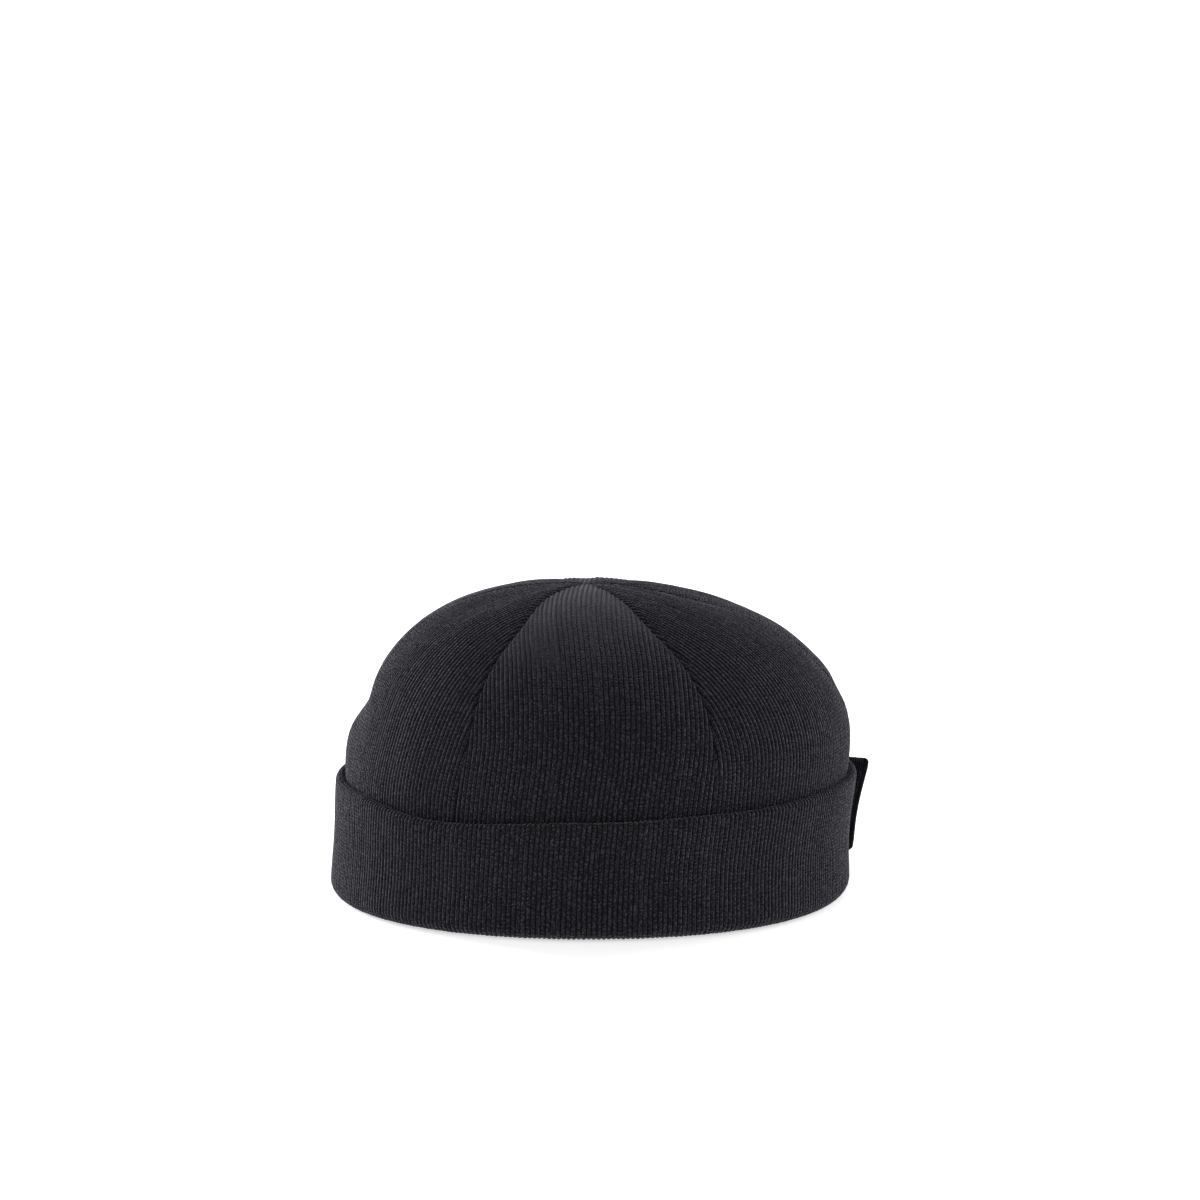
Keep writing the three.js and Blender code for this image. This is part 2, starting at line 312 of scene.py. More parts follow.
def wander(columns, along, seed):
    """How far each column strays sideways at a length along it, in millimetres."""
    draw = np.random.default_rng(seed)
    stray = np.zeros(np.broadcast(along, np.arange(columns)).shape)
    place = np.arange(columns) / RIB_COLUMNS
    for wave in WANDER_WAVES:
        phase, turn = draw.uniform(0, 2 * np.pi, 2)
        shift = WANDER_SHIFT * np.sin(place / WANDER_SPREAD + turn)
        stray = stray + np.sin(2 * np.pi * along / wave + phase + shift)
    return RIB_WANDER * stray


print("ribs deep", RIB_DEPTH, "mm,", RIB_PITCH, "mm apart")


# %% [markdown]
# ## Helpers for cloth
#
# Each piece of cloth starts as a flat grid, with six of its columns to a rib. Its vertices are then
# laid on the cap. The UV map counts ribs across and millimetres along, so that the stitches in the
# material have the same size on every piece.

# %% Helpers
SMOOTH_BELOW = math.radians(100)


def cloth_grid(name, columns, rows):
    bpy.ops.mesh.primitive_grid_add(x_subdivisions=columns, y_subdivisions=rows, size=1)
    piece = bpy.context.object
    piece.name = piece.data.name = name
    piece.data.uv_layers[0].name = "knit"
    return piece


def lay(piece, points):
    """Moves the first vertices of a mesh to points, in millimetres from the oval's middle."""
    mesh = piece.data
    place = np.zeros(len(mesh.vertices) * 3, np.float32)
    mesh.vertices.foreach_get("co", place)
    flat = (np.asarray(points).reshape(-1, 3) + TO_FRAME) * MM
    place[: flat.size] = flat.ravel()
    mesh.vertices.foreach_set("co", place)
    mesh.update()


def lay_knit(piece, ribs, lengths):
    """Sets the UV map from each vertex's rib number and length along the rib."""
    mesh = piece.data
    vertex = np.zeros(len(mesh.loops), np.int32)
    mesh.loops.foreach_get("vertex_index", vertex)
    knit = np.stack([np.ravel(ribs) / KNIT_RIBS, np.ravel(lengths) / KNIT_LENGTH], -1)
    mesh.uv_layers["knit"].data.foreach_set("uv", knit[vertex].astype(np.float32).ravel())


def apply_modifier(piece, kind, **settings):
    modifier = piece.modifiers.new(kind.lower(), kind)
    for key, value in settings.items():
        setattr(modifier, key, value)
    bpy.context.view_layer.objects.active = piece
    bpy.ops.object.modifier_apply(modifier=modifier.name)


def edit(piece, *steps):
    """Runs edit-mode operators on the whole of a mesh, each given with its settings."""
    bpy.context.view_layer.objects.active = piece
    bpy.ops.object.mode_set(mode="EDIT")
    bpy.ops.mesh.select_all(action="SELECT")
    for step, settings in steps:
        step(**settings)
    bpy.ops.object.mode_set(mode="OBJECT")


def hand_over(piece, node):
    """Smooths a finished piece, which then rides on the frame in place of its solid."""
    bpy.ops.object.select_all(action="DESELECT")
    piece.select_set(True)
    bpy.context.view_layer.objects.active = piece
    bpy.ops.object.shade_smooth_by_angle(angle=SMOOTH_BELOW)
    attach(piece, "root")
    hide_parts(node)
    triangles = sum(len(face.vertices) - 2 for face in piece.data.polygons)
    print(piece.name, triangles, "triangles, size in mm",
          [round(side / MM, 1) for side in piece.dimensions])


# %% [markdown]
# ## The six gores of the crown
#
# A gore is a leaf of cloth, and its ribs run parallel to its middle line. They don't narrow towards
# the top: each rib runs until the seam cuts it off, which gives the teeth along the seams. So each
# column of the grid stays at its own distance from the gore's middle, and ends where it meets the
# seam. The rows crowd together at the end, where the cloth turns down into the seam.

# %% The widest line, measured round the cap
fine_turns = np.arange(-40, 400, 0.05)


def lengths_round(out):
    """The length round the cap, up to each fine turn, of the line that far outside the oval."""
    line = sewn_line(fine_turns) + outward(fine_turns) * out
    steps = np.linalg.norm(np.diff(line, axis=0), axis=-1)
    return np.concatenate([[0], np.cumsum(steps)])


ROUND = lengths_round(CROWN_SWELL)


def length_at(turn):
    return np.interp(turn, fine_turns, ROUND)


def turn_at(length):
    return np.interp(length, ROUND, fine_turns)


print("round the crown:", round(length_at(360) - length_at(0), 1), "mm")

# %% [markdown]
# ## Where the seams run
#
# A seam is cut to run straight up to the top, but soft cloth gives way. On this cap the two front
# seams bend towards each other just before the top. The edge of a gore could be dragged there by
# hand, but then its neighbour's would have to follow. So a bend belongs to the seam, and both of its
# gores read the same one.

# %% The seams
# How far a seam bends to the right near the top, in millimetres on the widest line
SEAM_BENDS = {-29: 8.0, 331: 8.0, 26: -5.0}
BEND_V = 1.66
BEND_REACH = 0.17


def seam_length(seam, v):
    """Where a seam runs at v, as a length round the widest line."""
    bend = SEAM_BENDS.get(seam, 0.0) * np.exp(-(((v - BEND_V) / BEND_REACH) ** 2))
    return length_at(seam) + bend


def gore_middle(seams):
    return (length_at(seams[0]) + length_at(seams[1])) / 2


def reach(seams, v, side):
    """How far a gore reaches from its middle line at v, on the side of a column."""
    middle = gore_middle(seams)
    left, right = middle - seam_length(seams[0], v), seam_length(seams[1], v) - middle
    return dome_share(v) * np.where(side < 0, left, right)


def middle_line(seams):
    """Steps of v up a gore's middle line, and the length up to each."""
    v_steps = np.concatenate([np.linspace(0, 1, 200), np.linspace(1, 2, 1200)[1:]])
    climb = smooth_crown(turn_at(gore_middle(seams)), v_steps)
    ups = np.concatenate([[0], np.cumsum(np.linalg.norm(np.diff(climb, axis=0), axis=-1))])
    return v_steps, ups


print("length up the front gore:", round(middle_line(GORE_SEAMS["crown_gore_front"])[1][-1], 1), "mm")

# %% [markdown]
# ## The grid of a gore
#
# The grid could be draped by a simulation, but then the ribs would slide. Here each vertex is given
# its place: a side distance from the gore's middle, which is the rib's, and a length up along it.
# Most rows are spread evenly, and the last few sit close together where the rib ends in the seam.

# %% The rows and columns of a gore
# Lengths back from a rib's end in the seam
SEAM_ROWS = np.array([0.0, 0.22, 0.45, 0.7, 1.0, 1.4, 1.9, 2.6, 3.6])
GORE_ROWS = 66
# How far from a seam the ribs wander freely
STRAY_FADE = 6.0
# Half the width at which a gore ends at the top
NARROWEST = 0.02


def gore_places(seams, seed, gap):
    """Where a gore's grid lies: its turn, v, side distance, length along and way to the seam."""
    v_steps, ups = middle_line(seams)
    wide = length_at(seams[1]) - length_at(seams[0])
    half = (wide - gap) / 2
    ribs = round((wide - SEAM_GAP) / RIB_PITCH)
    side = np.linspace(-half, half, ribs * RIB_COLUMNS + 1)
    # The v at which the seam cuts each rib
    dome_v = np.linspace(1, 2, 4000)
    cut = -np.maximum(np.abs(side) + gap / 2, NARROWEST)
    left_end, right_end = (np.interp(cut, -reach(seams, dome_v, way), dome_v) for way in (-1, 1))
    v_end = np.where(side < 0, left_end, right_end)
    up_end = np.interp(v_end, v_steps, ups)
    rest = GORE_ROWS - len(SEAM_ROWS) + 1
    even = np.linspace(0, 1, rest + 1)[:-1, None] * (up_end - SEAM_ROWS[-1])
    up = np.concatenate([even, up_end - SEAM_ROWS[::-1, None]])
    v = np.interp(up, ups, v_steps)
    # The ribs wander, but not at the seams
    fade = np.clip((half - np.abs(side)) / STRAY_FADE, 0, 1)
    fade = fade * np.clip((up_end - up) / STRAY_FADE, 0, 1)
    stray = side + wander(len(side), up, seed) * fade
    turn = turn_at(gore_middle(seams) + stray / dome_share(v))
    to_seam = np.maximum(reach(seams, v, side) - np.abs(side), 0)
    narrowing = np.gradient(dome_share(v_steps) * half, ups)
    lean = np.interp(v, v_steps, np.arctan(np.abs(narrowing)))
    return turn, v, side, up, to_seam * np.cos(lean)


# %% [markdown]
# ## Puff, waves and dents
#
# Real cloth is never the bare dome. It puffs out between the seams, waves a little, and is dimpled
# where all the seams meet at the top. Sculpting brushes could do this by hand. Here each effect is a
# small height, and the heights are added up along the dome's normals.

# %% How far a gore stands out
PUFF_FROM, PUFF_FULL = 1.0, 1.35
WAVES_FROM, WAVES_FULL = 0.7, 1.2
CALM_RADIUS = 25.0
# waves in a round, half waves in a step of v, start, depth
SOFT_WAVES = [(7, 2.1, 0.4, 0.16), (11, -3.3, 2.0, 0.12), (17, 4.7, 4.4, 0.08)]
TURN_STEP = 0.05
V_STEP = 0.002
LAST_V = 1.995


def soft_waves(turn, v):
    """Small waves of the soft cloth, which run on from gore to gore."""
    return sum(deep * np.sin(np.radians(turn) * round_it + v * up_it * np.pi + start)
               for round_it, up_it, start, deep in SOFT_WAVES)


def crown_normals(turn, v):
    """The outward normals of the bare dome."""
    v = np.minimum(v, LAST_V)
    around = smooth_crown(turn + TURN_STEP, v) - smooth_crown(turn - TURN_STEP, v)
    along = smooth_crown(turn, v + V_STEP) - smooth_crown(turn, v - V_STEP)
    normal = np.cross(around, along)
    return normal / np.linalg.norm(normal, axis=-1, keepdims=True)


def gore_rise(turn, v, side, seams, bare):
    """How far the soft cloth of a gore stands out from the bare dome."""
    across = np.clip(np.abs(side) / np.maximum(reach(seams, v, side), 1e-6), 0, 1)
    puff = GORE_PUFF * eased(v, PUFF_FROM, PUFF_FULL) * dome_share(v) * (1 - across ** 2)
    radius = np.hypot(bare[..., 0] - sway(bare[..., 2]), bare[..., 1])
    dimple = DIMPLE_DEPTH * np.exp(-((radius / DIMPLE_REACH) ** 2))
    calm = eased(v, WAVES_FROM, WAVES_FULL) * np.clip(radius / CALM_RADIUS, 0, 1)
    return (puff + dents(turn, v) + soft_waves(turn, v) * calm - dimple)[..., None]


def gore_face(seams, seed, gap):
    """One face of a gore: its smooth points and normals, and v, length and way to the seam."""
    turn, v, side, up, to_seam = gore_places(seams, seed, gap)
    bare, normal = smooth_crown(turn, v), crown_normals(turn, v)
    return bare + normal * gore_rise(turn, v, side, seams, bare), normal, v, up, to_seam


print("deepest soft wave:", max(wave[-1] for wave in SOFT_WAVES), "mm")

# %% [markdown]
# ## Sewing a gore
#
# At a seam, the cloth sinks and its edge rolls in, and each rib swells a little just before it ends,
# as a small tooth. Low down, inside the cuff, the seam is pressed almost flat. Solidify gives the
# leaf its thickness. Then the ribs are raised on the outer face, and the inner face is drawn out at
# its edge until it meets its neighbour's, as in a sewn seam, so that no light comes through.

# %% Sew the gores
SEAM_ROLL = 0.4
SEAM_ROLL_REACH = 0.5
SEAM_LAP = 0.25
TOOTH_SWELL = 0.3
TOOTH_REACH = 1.5
TOOTH_LENGTH = 0.8
PRESSED_SHARE = 0.15
PRESSED_TO, FREE_FROM = 0.95, 1.3


def gore_relief(v, to_seam, relief):
    """The ribs' relief with its teeth, and the dip and roll at the seam taken away."""
    free = PRESSED_SHARE + (1 - PRESSED_SHARE) * eased(v, PRESSED_TO, FREE_FROM)
    dip = free * SEAM_DIP * np.exp(-((to_seam / SEAM_DIP_REACH) ** 2))
    roll = free * SEAM_ROLL * np.exp(-((to_seam / SEAM_ROLL_REACH) ** 2))
    tooth = TOOTH_SWELL * np.exp(-(((to_seam - TOOTH_REACH) / TOOTH_LENGTH) ** 2)) * (relief > 0)
    return (relief + tooth - dip - roll)[..., None]


def gore(node, seams, seed):
    smooth, normal, v, up, to_seam = gore_face(seams, seed, SEAM_GAP)
    rows, columns = v.shape
    piece = cloth_grid(node + "_knit", columns - 1, rows - 1)
    lay(piece, smooth)
    lay_knit(piece, np.broadcast_to(np.arange(columns) / RIB_COLUMNS, v.shape), up)
    apply_modifier(piece, "SOLIDIFY", thickness=CROWN_WALL * MM, offset=-1)

    relief = np.broadcast_to(rib_heights(columns, seed), v.shape)
    outer = smooth + normal * gore_relief(v, to_seam, relief)
    inside, inside_normal, *_ = gore_face(seams, seed, -SEAM_LAP)
    lay(piece, np.concatenate([outer, inside - inside_normal * CROWN_WALL]))
    hand_over(piece, node)
    return piece


gores = [gore(node, seams, 11 + k) for k, (node, seams) in enumerate(GORE_SEAMS.items())]

# %% [markdown]
# ## The cuff
#
# The cuff is one band of double cloth. Its section runs along the flat bottom of the fold, up the
# outside, over the rounded top edge, down the inside, round the inside of the fold and up the hem
# that carries the crown. It could be spun round an axis, but the cap is oval, so a grid is wrapped:
# its columns go round the cap, its rows follow the section, and its edges are merged.


# %% The cuff's section
CUFF_FACE_ROWS = 14


def cuff_section(turn):
    """Rows of (out, z) for each turn, from the inner end of the flat bottom round to the start."""
    top = cuff_top(turn)[None, :]
    crest = top - CUFF_WALL / 2
    fold = CUFF_INSIDE / 2
    fold_z = FOLD_WEB + fold
    outs, heights = [], []

    def add(out, z):
        outs.append(np.broadcast_to(out, top.shape[1:]))
        heights.append(np.broadcast_to(z, top.shape[1:]))

    def add_arc(out, z, radius, start, end, steps):
        for angle in np.radians(np.linspace(start, end, steps + 1))[:-1]:
            add(out + radius * np.cos(angle), z + radius * np.sin(angle))

    def add_line(out, z, end_out, end_z, steps):
        for share in np.linspace(0, 1, steps + 1)[:-1]:
            add(out + (end_out - out) * share, z + (end_z - z) * share)

    bottom = CUFF_OUTSIDE - FOLD_OUTER_RADIUS
    add_line(FOLD_INNER_RADIUS - CROWN_WALL, 0, bottom, 0, 2)
    add_arc(bottom, FOLD_OUTER_RADIUS, FOLD_OUTER_RADIUS, -90, 0, 5)
    add_line(CUFF_OUTSIDE, FOLD_OUTER_RADIUS, CUFF_OUTSIDE, crest[0], CUFF_FACE_ROWS)
    add_arc(CUFF_INSIDE + CUFF_WALL / 2, crest[0], CUFF_WALL / 2, 0, 180, 9)
    add_line(CUFF_INSIDE, crest[0], CUFF_INSIDE, fold_z, 3)
    add_arc(fold, fold_z, fold, 0, -180, 3)
    add_line(0, fold_z, 0, HEM_HEIGHT, 2)
    add_line(0, HEM_HEIGHT, -CROWN_WALL, HEM_HEIGHT, 1)
    add_line(-CROWN_WALL, HEM_HEIGHT, -CROWN_WALL, FOLD_INNER_RADIUS, 3)
    add_arc(FOLD_INNER_RADIUS - CROWN_WALL, FOLD_INNER_RADIUS, FOLD_INNER_RADIUS, 180, 270, 3)
    return np.stack(outs), np.stack(heights)


# %% Wrap the cuff
HIDDEN_RELIEF = 0.15
HIDDEN_MARGIN = 0.3
HIDDEN_FROM_Z = 1.0
JOIN_RIBS = 8.0
CUFF_ROUND = lengths_round(CUFF_OUTSIDE)


def cuff_turn_at(length):
    return np.interp(length, CUFF_ROUND, fine_turns)


def cuff_length_at(turn):
    return np.interp(turn, fine_turns, CUFF_ROUND)


def cuff(node, seed):
    start = cuff_length_at(0)
    whole = cuff_length_at(360) - start
    ribs = round(whole / RIB_PITCH)
    columns = ribs * RIB_COLUMNS
    turn = cuff_turn_at(start + np.arange(columns) / columns * whole)
    out, z = cuff_section(turn)
    rows = len(out)
    drawn_in = cuff_waist(turn, z) * np.clip(out / CUFF_INSIDE, 0, 1)
    up = np.cumsum(np.hypot(np.diff(out, axis=0, append=out[:1]),
                            np.diff(z, axis=0, append=z[:1])), axis=0)
    stray = wander(columns, np.where(out > CUFF_INSIDE, z, 0), seed) * 360 / whole
    # The ribs don't wander where the ring closes
    from_join = np.minimum(np.arange(columns), columns - np.arange(columns))
    fade = from_join / (JOIN_RIBS * RIB_COLUMNS)
    smooth = band_point(turn + stray * np.clip(fade, 0, 1), z, out - drawn_in)
    normal = normals_of(smooth, (True, True))
    relief = np.broadcast_to(rib_heights(columns, seed), smooth.shape[:2])
    # The faces that the crown lies against are pressed nearly smooth
    inside = (out < CUFF_INSIDE + HIDDEN_MARGIN) & (out > -0.1) & (z > HIDDEN_FROM_Z)
    points = smooth + normal * (relief * np.where(inside, HIDDEN_RELIEF, 1.0))[..., None]
    # The grid has one more row and one more column than the ring, which the merge takes away.
    points = np.concatenate([points, points[:1]], 0)
    points = np.concatenate([points, points[:, :1]], 1)
    lengths = np.concatenate([np.zeros((1, columns)), up], 0)
    lengths = np.concatenate([lengths, lengths[:, :1]], 1)
    piece = cloth_grid(node + "_knit", columns, rows)
    lay(piece, points)
    lay_knit(piece, np.broadcast_to(np.arange(columns + 1) / RIB_COLUMNS, lengths.shape), lengths)
    edit(piece, (bpy.ops.mesh.remove_doubles, {"threshold": 1e-6}))
    hand_over(piece, node)
    print("cuff:", ribs, "ribs round", round(whole, 1), "mm")
    return piece


cuff_band = cuff("cuff", 31)

# %% [markdown]
# ## The strap
#
# The strap crosses the back of the cuff. It is sewn down at its left end, out of the camera's
# sight, lies on the cuff, and leaves it before its free end, which stands off on the right. It is a
# flat tube of cloth: its two long edges are folds, and its free end is closed and rounded.

# %% The strap's section
STRAP_FACE_ROWS = 12
STRAP_EDGE_ROWS = 6


def strap_section():
    """Rows of (height, depth), from the foot of the outer face, over the top and back below."""
    half_wall = STRAP_WALL / 2
    rows_up = np.linspace(half_wall, STRAP_WIDTH - half_wall, STRAP_FACE_ROWS + 1)
    bends = [(half_wall * np.sin(angle), half_wall * np.cos(angle))
             for angle in np.linspace(0, np.pi, STRAP_EDGE_ROWS + 1)[1:-1]]
    outer = [(row, half_wall) for row in rows_up]
    over = [(rows_up[-1] + up, depth) for up, depth in bends]
    inner = [(row, -half_wall) for row in rows_up[::-2]]
    under = [(rows_up[0] - down, -depth) for down, depth in bends]
    return np.array(outer + over + inner + under)


print("the strap's section has", len(strap_section()), "rows")

# %% Wrap the strap
STRAP_THINNEST = 0.02
STRAP_CORNER_RUN = 12.0
STRAP_LIFT_POWER = 1.6
STRAP_RISE_POWER = 3
PRESSED_LIFT = 1.0
PRESSED_RELIEF = 0.2


def strap(node, seed):
    start, end = cuff_length_at(STRAP_FREE_TURN), cuff_length_at(STRAP_SEWN_TURN)
    ribs = round((end - start) / RIB_PITCH)
    columns = ribs * RIB_COLUMNS + 1
    length = np.linspace(0, end - start, columns)
    # Both ends thin out in a half round, and the free end's corners are rounded
    half_wall = STRAP_WALL / 2
    to_end = np.clip(np.minimum(length, (end - start) - length) / half_wall, 0, 1)
    thin = np.sqrt(np.clip(1 - (1 - to_end) ** 2, STRAP_THINNEST, 1))
    section = strap_section()
    height, depth = section[:, 0][:, None], section[:, 1][:, None] * thin
    from_edge = np.minimum(height, STRAP_WIDTH - height)
    short = np.clip(STRAP_CORNER - from_edge, 0, STRAP_CORNER)
    cut = STRAP_CORNER - np.sqrt(STRAP_CORNER ** 2 - short ** 2)
    squeeze = np.clip(1 - length / STRAP_CORNER_RUN, 0, 1)
    turn = cuff_turn_at(start + length + cut * squeeze)
    loose = np.clip((STRAP_LEAVES_TURN - turn) / (STRAP_LEAVES_TURN - STRAP_FREE_TURN), 0, 1)
    z = STRAP_RISE + STRAP_END_RISE * loose ** STRAP_RISE_POWER + height
    full_lift = STRAP_BOTTOM_LIFT + (STRAP_TOP_LIFT - STRAP_BOTTOM_LIFT) * height / STRAP_WIDTH
    lift = full_lift * loose ** STRAP_LIFT_POWER
    middle = CUFF_OUTSIDE - cuff_waist(turn, z) + SEAM_GAP + lift + half_wall
    smooth = band_point(turn, z, middle + depth)
    normal = normals_of(smooth, (True, False))
    relief = np.broadcast_to(rib_heights(columns, seed), smooth.shape[:2])
    # The inner face is pressed nearly smooth where it lies on the cuff
    face = np.where((depth < 0) & (lift < PRESSED_LIFT), PRESSED_RELIEF, 1.0) * thin
    points = smooth + normal * (relief * face)[..., None]
    rows = len(section)
    points = np.concatenate([points, points[:1]], 0)
    around = np.concatenate([[0], np.cumsum(np.linalg.norm(
        np.diff(np.concatenate([section, section[:1]]), axis=0), axis=1))])
    piece = cloth_grid(node + "_knit", columns - 1, rows)
    lay(piece, points)
    shape = (rows + 1, columns)
    lay_knit(piece, np.broadcast_to(np.arange(columns) / RIB_COLUMNS, shape),
             np.broadcast_to(around[:, None], shape))
    edit(piece, (bpy.ops.mesh.remove_doubles, {"threshold": 1e-6}),
         (bpy.ops.mesh.fill_holes, {"sides": 0}))
    hand_over(piece, node)
    print("strap:", ribs, "ribs along", round(end - start, 1), "mm")
    return piece


strap_band = strap("back_strap", 47)

# %% [markdown]
# ## What each gore was cut to
#
# Each piece was flat cloth before it was sewn. A gore was cut as a leaf, so its area is less than
# its width times its length. The cuff and the strap are double cloth.


def gore_cut(seams):
    """The width, length and area of a gore's flat leaf, in millimetres."""
    v_steps, ups = middle_line(seams)
    across = reach(seams, v_steps, -1) + reach(seams, v_steps, 1)
    area = ((across[1:] + across[:-1]) / 2 * np.diff(ups)).sum()
    return across.max(), ups[-1], area


for piece, seams in zip(gores, GORE_SEAMS.values()):
    width, length, area = gore_cut(seams)
    print(piece.name, "cut to", round(width), "x", round(length), "mm,", round(area / 100), "cm2")

# %% [markdown]
# ## The material
#
# The cloth is a matt black knit with a soft nap. Its parts are one shader node group that reads
# the knit's UV map: V-shaped stitches along each rib, the ridges and valleys, and fine fibres. The
# material paints the valleys darker as painted shade. The nap is the shader's sheen, which lightens
# the cloth where it turns away from the eye, with a painted sheen of grey fibres on the ridges.

# %% The knit as a node group
COURSE = 1.25
STITCH_SLANT = 0.55
STITCH_UNEVENNESS = 1.6
FIBRE_HEIGHT = 3.0
# Waves of noise in a metre
UNEVEN_SCALE = 420
FIBRE_SCALE = 1500
CLOUD_SCALE = 60


def math_node(tree, operation, first, second=None):
    node = tree.nodes.new("ShaderNodeMath")
    node.operation = operation
    for socket, value in zip(node.inputs, (first, second)):
        if isinstance(value, (int, float)):
            socket.default_value = value
        elif value is not None:
            tree.links.new(value, socket)
    return node.outputs[0]


def mapped(tree, value, from_low, from_high, to_low, to_high):
    node = tree.nodes.new("ShaderNodeMapRange")
    node.interpolation_type = "SMOOTHSTEP"
    tree.links.new(value, node.inputs["Value"])
    for key, number in (("From Min", from_low), ("From Max", from_high),
                        ("To Min", to_low), ("To Max", to_high)):
        node.inputs[key].default_value = number
    return node.outputs["Result"]


def noise(tree, vector, scale, detail):
    node = tree.nodes.new("ShaderNodeTexNoise")
    node.inputs["Scale"].default_value = scale
    node.inputs["Detail"].default_value = detail
    tree.links.new(vector, node.inputs["Vector"])
    return node.outputs["Fac"]


def knit_group():
    tree = bpy.data.node_groups.new("rib_knit", "ShaderNodeTree")
    for name, kind in (("Knit", "NodeSocketVector"), ("Place", "NodeSocketVector")):
        tree.interface.new_socket(name, in_out="INPUT", socket_type=kind)
    for name in ("Height", "Ridge", "Stitch", "Fibre", "Cloud"):
        tree.interface.new_socket(name, in_out="OUTPUT", socket_type="NodeSocketFloat")
    given = tree.nodes.new("NodeGroupInput").outputs
    result = tree.nodes.new("NodeGroupOutput").inputs
    split = tree.nodes.new("ShaderNodeSeparateXYZ")
    tree.links.new(given["Knit"], split.inputs[0])
    across = math_node(tree, "FRACT", math_node(tree, "MULTIPLY", split.outputs["X"], KNIT_RIBS))
    from_crest = math_node(tree, "ABSOLUTE", math_node(
        tree, "SUBTRACT", math_node(tree, "MULTIPLY", across, 2.0), 1.0))
    ridge = mapped(tree, from_crest, 0.42, 0.9, 1.0, 0.0)
    stretch = noise(tree, given["Place"], UNEVEN_SCALE, 2)
    uneven = math_node(tree, "MULTIPLY", stretch, STITCH_UNEVENNESS)
    row = math_node(tree, "MULTIPLY", split.outputs["Y"], KNIT_LENGTH / COURSE)
    slant = math_node(tree, "MULTIPLY", from_crest, STITCH_SLANT)
    phase = math_node(tree, "ADD", math_node(tree, "ADD", row, slant), uneven)
    stitch = math_node(tree, "SINE", math_node(tree, "MULTIPLY", phase, 2 * math.pi))
    stitch = mapped(tree, stitch, -0.9, 0.7, 0.0, 1.0)
    fibre = noise(tree, given["Place"], FIBRE_SCALE, 3)
    height = math_node(tree, "ADD", math_node(tree, "MULTIPLY", stitch, ridge),
                       math_node(tree, "MULTIPLY", fibre, FIBRE_HEIGHT))
    tree.links.new(height, result["Height"])
    tree.links.new(ridge, result["Ridge"])
    tree.links.new(stitch, result["Stitch"])
    tree.links.new(mapped(tree, fibre, 0.45, 0.66, 0.0, 1.0), result["Fibre"])
    tree.links.new(noise(tree, given["Place"], CLOUD_SCALE, 3), result["Cloud"])
    return tree


rib_knit = knit_group()
print("knit group:", len(rib_knit.nodes), "nodes")

# %% [markdown]
# ## One cloth for the whole cap
#
# The gores, the cuff and the strap are cut from the same cloth, so they share one material. The
# ridges have the cloth's own black. The valleys between the ribs, and the grooves between the
# stitches, are painted darker as painted shade. Grey fibres on the ridges are partly worn fibres of
# the cloth and partly a painted sheen. The group's masks mix the three.

# %% The cloth's material
# The valley black is painted shade between the ribs. The fibre grey is partly the cloth's grey fibres
# and partly a painted sheen on the ridges.
VALLEY_SHADE_BLACK = (0.0026, 0.0025, 0.0032, 1)
RIDGE_BLACK = (0.0095, 0.0091, 0.0117, 1)
FIBRE_AND_SHEEN_GREY = (0.052, 0.050, 0.062, 1)


def colour_mix(tree, factor, first, second):
    node = tree.nodes.new("ShaderNodeMix")
    node.data_type = "RGBA"
    tree.links.new(factor, node.inputs["Factor"])
    for socket, value in ((node.inputs["A"], first), (node.inputs["B"], second)):
        if isinstance(value, tuple):
            socket.default_value = value
        else:
            tree.links.new(value, socket)
    return node.outputs["Result"]


def cloth_material():
    material = bpy.data.materials.new("ribbed_cloth_knit")
    material.use_nodes = True
    tree = material.node_tree
    shader = tree.nodes["Principled BSDF"]
    knit_map = tree.nodes.new("ShaderNodeUVMap")
    knit_map.uv_map = "knit"
    place = tree.nodes.new("ShaderNodeTexCoord")
    knit = tree.nodes.new("ShaderNodeGroup")
    knit.node_tree = rib_knit
    tree.links.new(knit_map.outputs["UV"], knit.inputs["Knit"])
    tree.links.new(place.outputs["Object"], knit.inputs["Place"])
    # The colour falls to the valley black in the valleys and between the stitches: painted shade.
    stitch = mapped(tree, knit.outputs["Stitch"], 0.0, 1.0, 0.55, 1.0)
    ridge = math_node(tree, "MULTIPLY", knit.outputs["Ridge"], stitch)
    colour = colour_mix(tree, ridge, VALLEY_SHADE_BLACK, RIDGE_BLACK)
    # The fibre grey is kept off the valleys as painted shade, and on the ridges it is partly a
    # painted sheen.
    out_of_valley_shade = mapped(tree, knit.outputs["Ridge"], 0.0, 1.0, 0.1, 0.62)
    fibre_and_sheen = math_node(tree, "MULTIPLY", knit.outputs["Fibre"], out_of_valley_shade)
    colour = colour_mix(tree, fibre_and_sheen, colour, FIBRE_AND_SHEEN_GREY)
    tree.links.new(colour, shader.inputs["Base Color"])
    rough = mapped(tree, knit.outputs["Cloud"], 0.3, 0.7, 0.86, 0.98)
    tree.links.new(rough, shader.inputs["Roughness"])
    bump = tree.nodes.new("ShaderNodeBump")
    bump.inputs["Strength"].default_value = 0.7
    bump.inputs["Distance"].default_value = 0.00025
    tree.links.new(knit.outputs["Height"], bump.inputs["Height"])
    tree.links.new(bump.outputs["Normal"], shader.inputs["Normal"])
    shader.inputs["Specular IOR Level"].default_value = 0.08
    shader.inputs["Sheen Weight"].default_value = 0.26
    shader.inputs["Sheen Roughness"].default_value = 0.3
    shader.inputs["Sheen Tint"].default_value = (0.86, 0.86, 1.0, 1)
    return material


cloth = cloth_material()
for piece in [*gores, cuff_band, strap_band]:
    piece.data.materials.clear()
    piece.data.materials.append(cloth)
print("dressed", len(gores) + 2, "pieces")

# %% [markdown]
# ## The floor
#
# The photograph is a plain studio picture on white. A wide pale floor gives that. It glows a little,
# as a lit studio floor does, so that it meets the pale sky without a line.

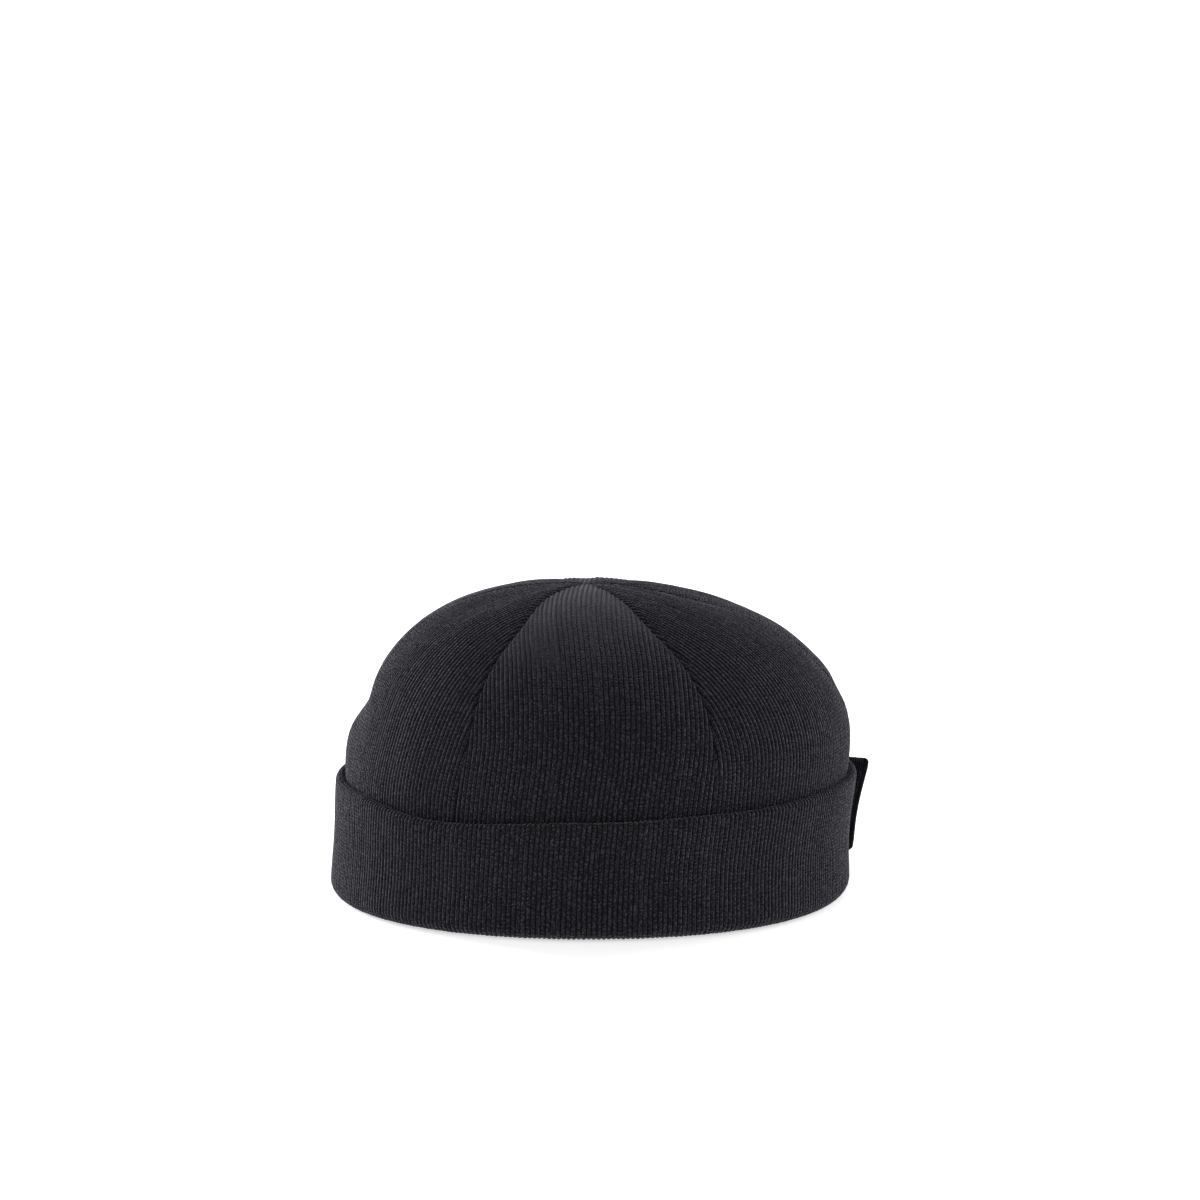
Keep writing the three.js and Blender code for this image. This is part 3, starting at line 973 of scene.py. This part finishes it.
# %% Floor
FLOOR_HALF = 30.0
FLOOR_DROP = 0.0005
bpy.ops.mesh.primitive_plane_add(size=2 * FLOOR_HALF, location=(0, 0, -FLOOR_DROP))
floor = bpy.context.object
floor.name = "studio_floor"
pale = bpy.data.materials.new("pale_floor")
pale.use_nodes = True
pale_shader = pale.node_tree.nodes["Principled BSDF"]
pale_shader.inputs["Base Color"].default_value = (0.93, 0.93, 0.93, 1)
pale_shader.inputs["Roughness"].default_value = 0.9
pale_shader.inputs["Specular IOR Level"].default_value = 0.1
pale_shader.inputs["Emission Color"].default_value = (1.0, 1.0, 1.0, 1)
pale_shader.inputs["Emission Strength"].default_value = 0.56
floor.data.materials.append(pale)

# %% [markdown]
# ## Light
#
# Black cloth swallows light, so it is drawn by what grazes it. A low light behind the top and two
# soft lights behind the sides catch the nap along the outline and between the ribs, and a weak light
# in front keeps the middle from going dark. The sky is white to the camera but gives less light.

# %% Light
SKY_GIVEN = 0.51
SKY_SHOWN = 1.1
sky = bpy.data.worlds.new("pale_sky")
sky.use_nodes = True
sky_light = sky.node_tree.nodes["Background"]
sky_light.inputs["Color"].default_value = (1.0, 1.0, 1.0, 1)
ray = sky.node_tree.nodes.new("ShaderNodeLightPath")
shown = sky.node_tree.nodes.new("ShaderNodeMapRange")
shown.inputs["To Min"].default_value = SKY_GIVEN
shown.inputs["To Max"].default_value = SKY_SHOWN
sky.node_tree.links.new(ray.outputs["Is Camera Ray"], shown.inputs["Value"])
sky.node_tree.links.new(shown.outputs["Result"], sky_light.inputs["Strength"])
bpy.context.scene.world = sky
bpy.context.scene.view_settings.view_transform = "Standard"

bpy.ops.object.light_add(type="SUN", location=(0, 0.5, 2), rotation=(math.radians(-72), 0, 0))
overhead = bpy.context.object
overhead.name = overhead.data.name = "overhead_light"
overhead.data.energy = 0.5
overhead.data.angle = math.radians(30)

STUDIO_LIGHTS = [
    ("left_light", (-1.05, 0.95, 0.28), 0.5, 33.0),
    ("right_light", (1.05, 0.95, 0.28), 0.5, 14.5),
    ("front_fill", (0.05, -2.2, 0.3), 1.2, 15.0),
]
for name, place, side, power in STUDIO_LIGHTS:
    bpy.ops.object.light_add(type="AREA", location=place)
    light = bpy.context.object
    light.name = light.data.name = name
    light.data.size = side
    light.data.energy = power
    light.rotation_euler = (AIM - Vector(place)).to_track_quat("-Z", "Y").to_euler()
print("lights:", [name for name, *_ in STUDIO_LIGHTS])
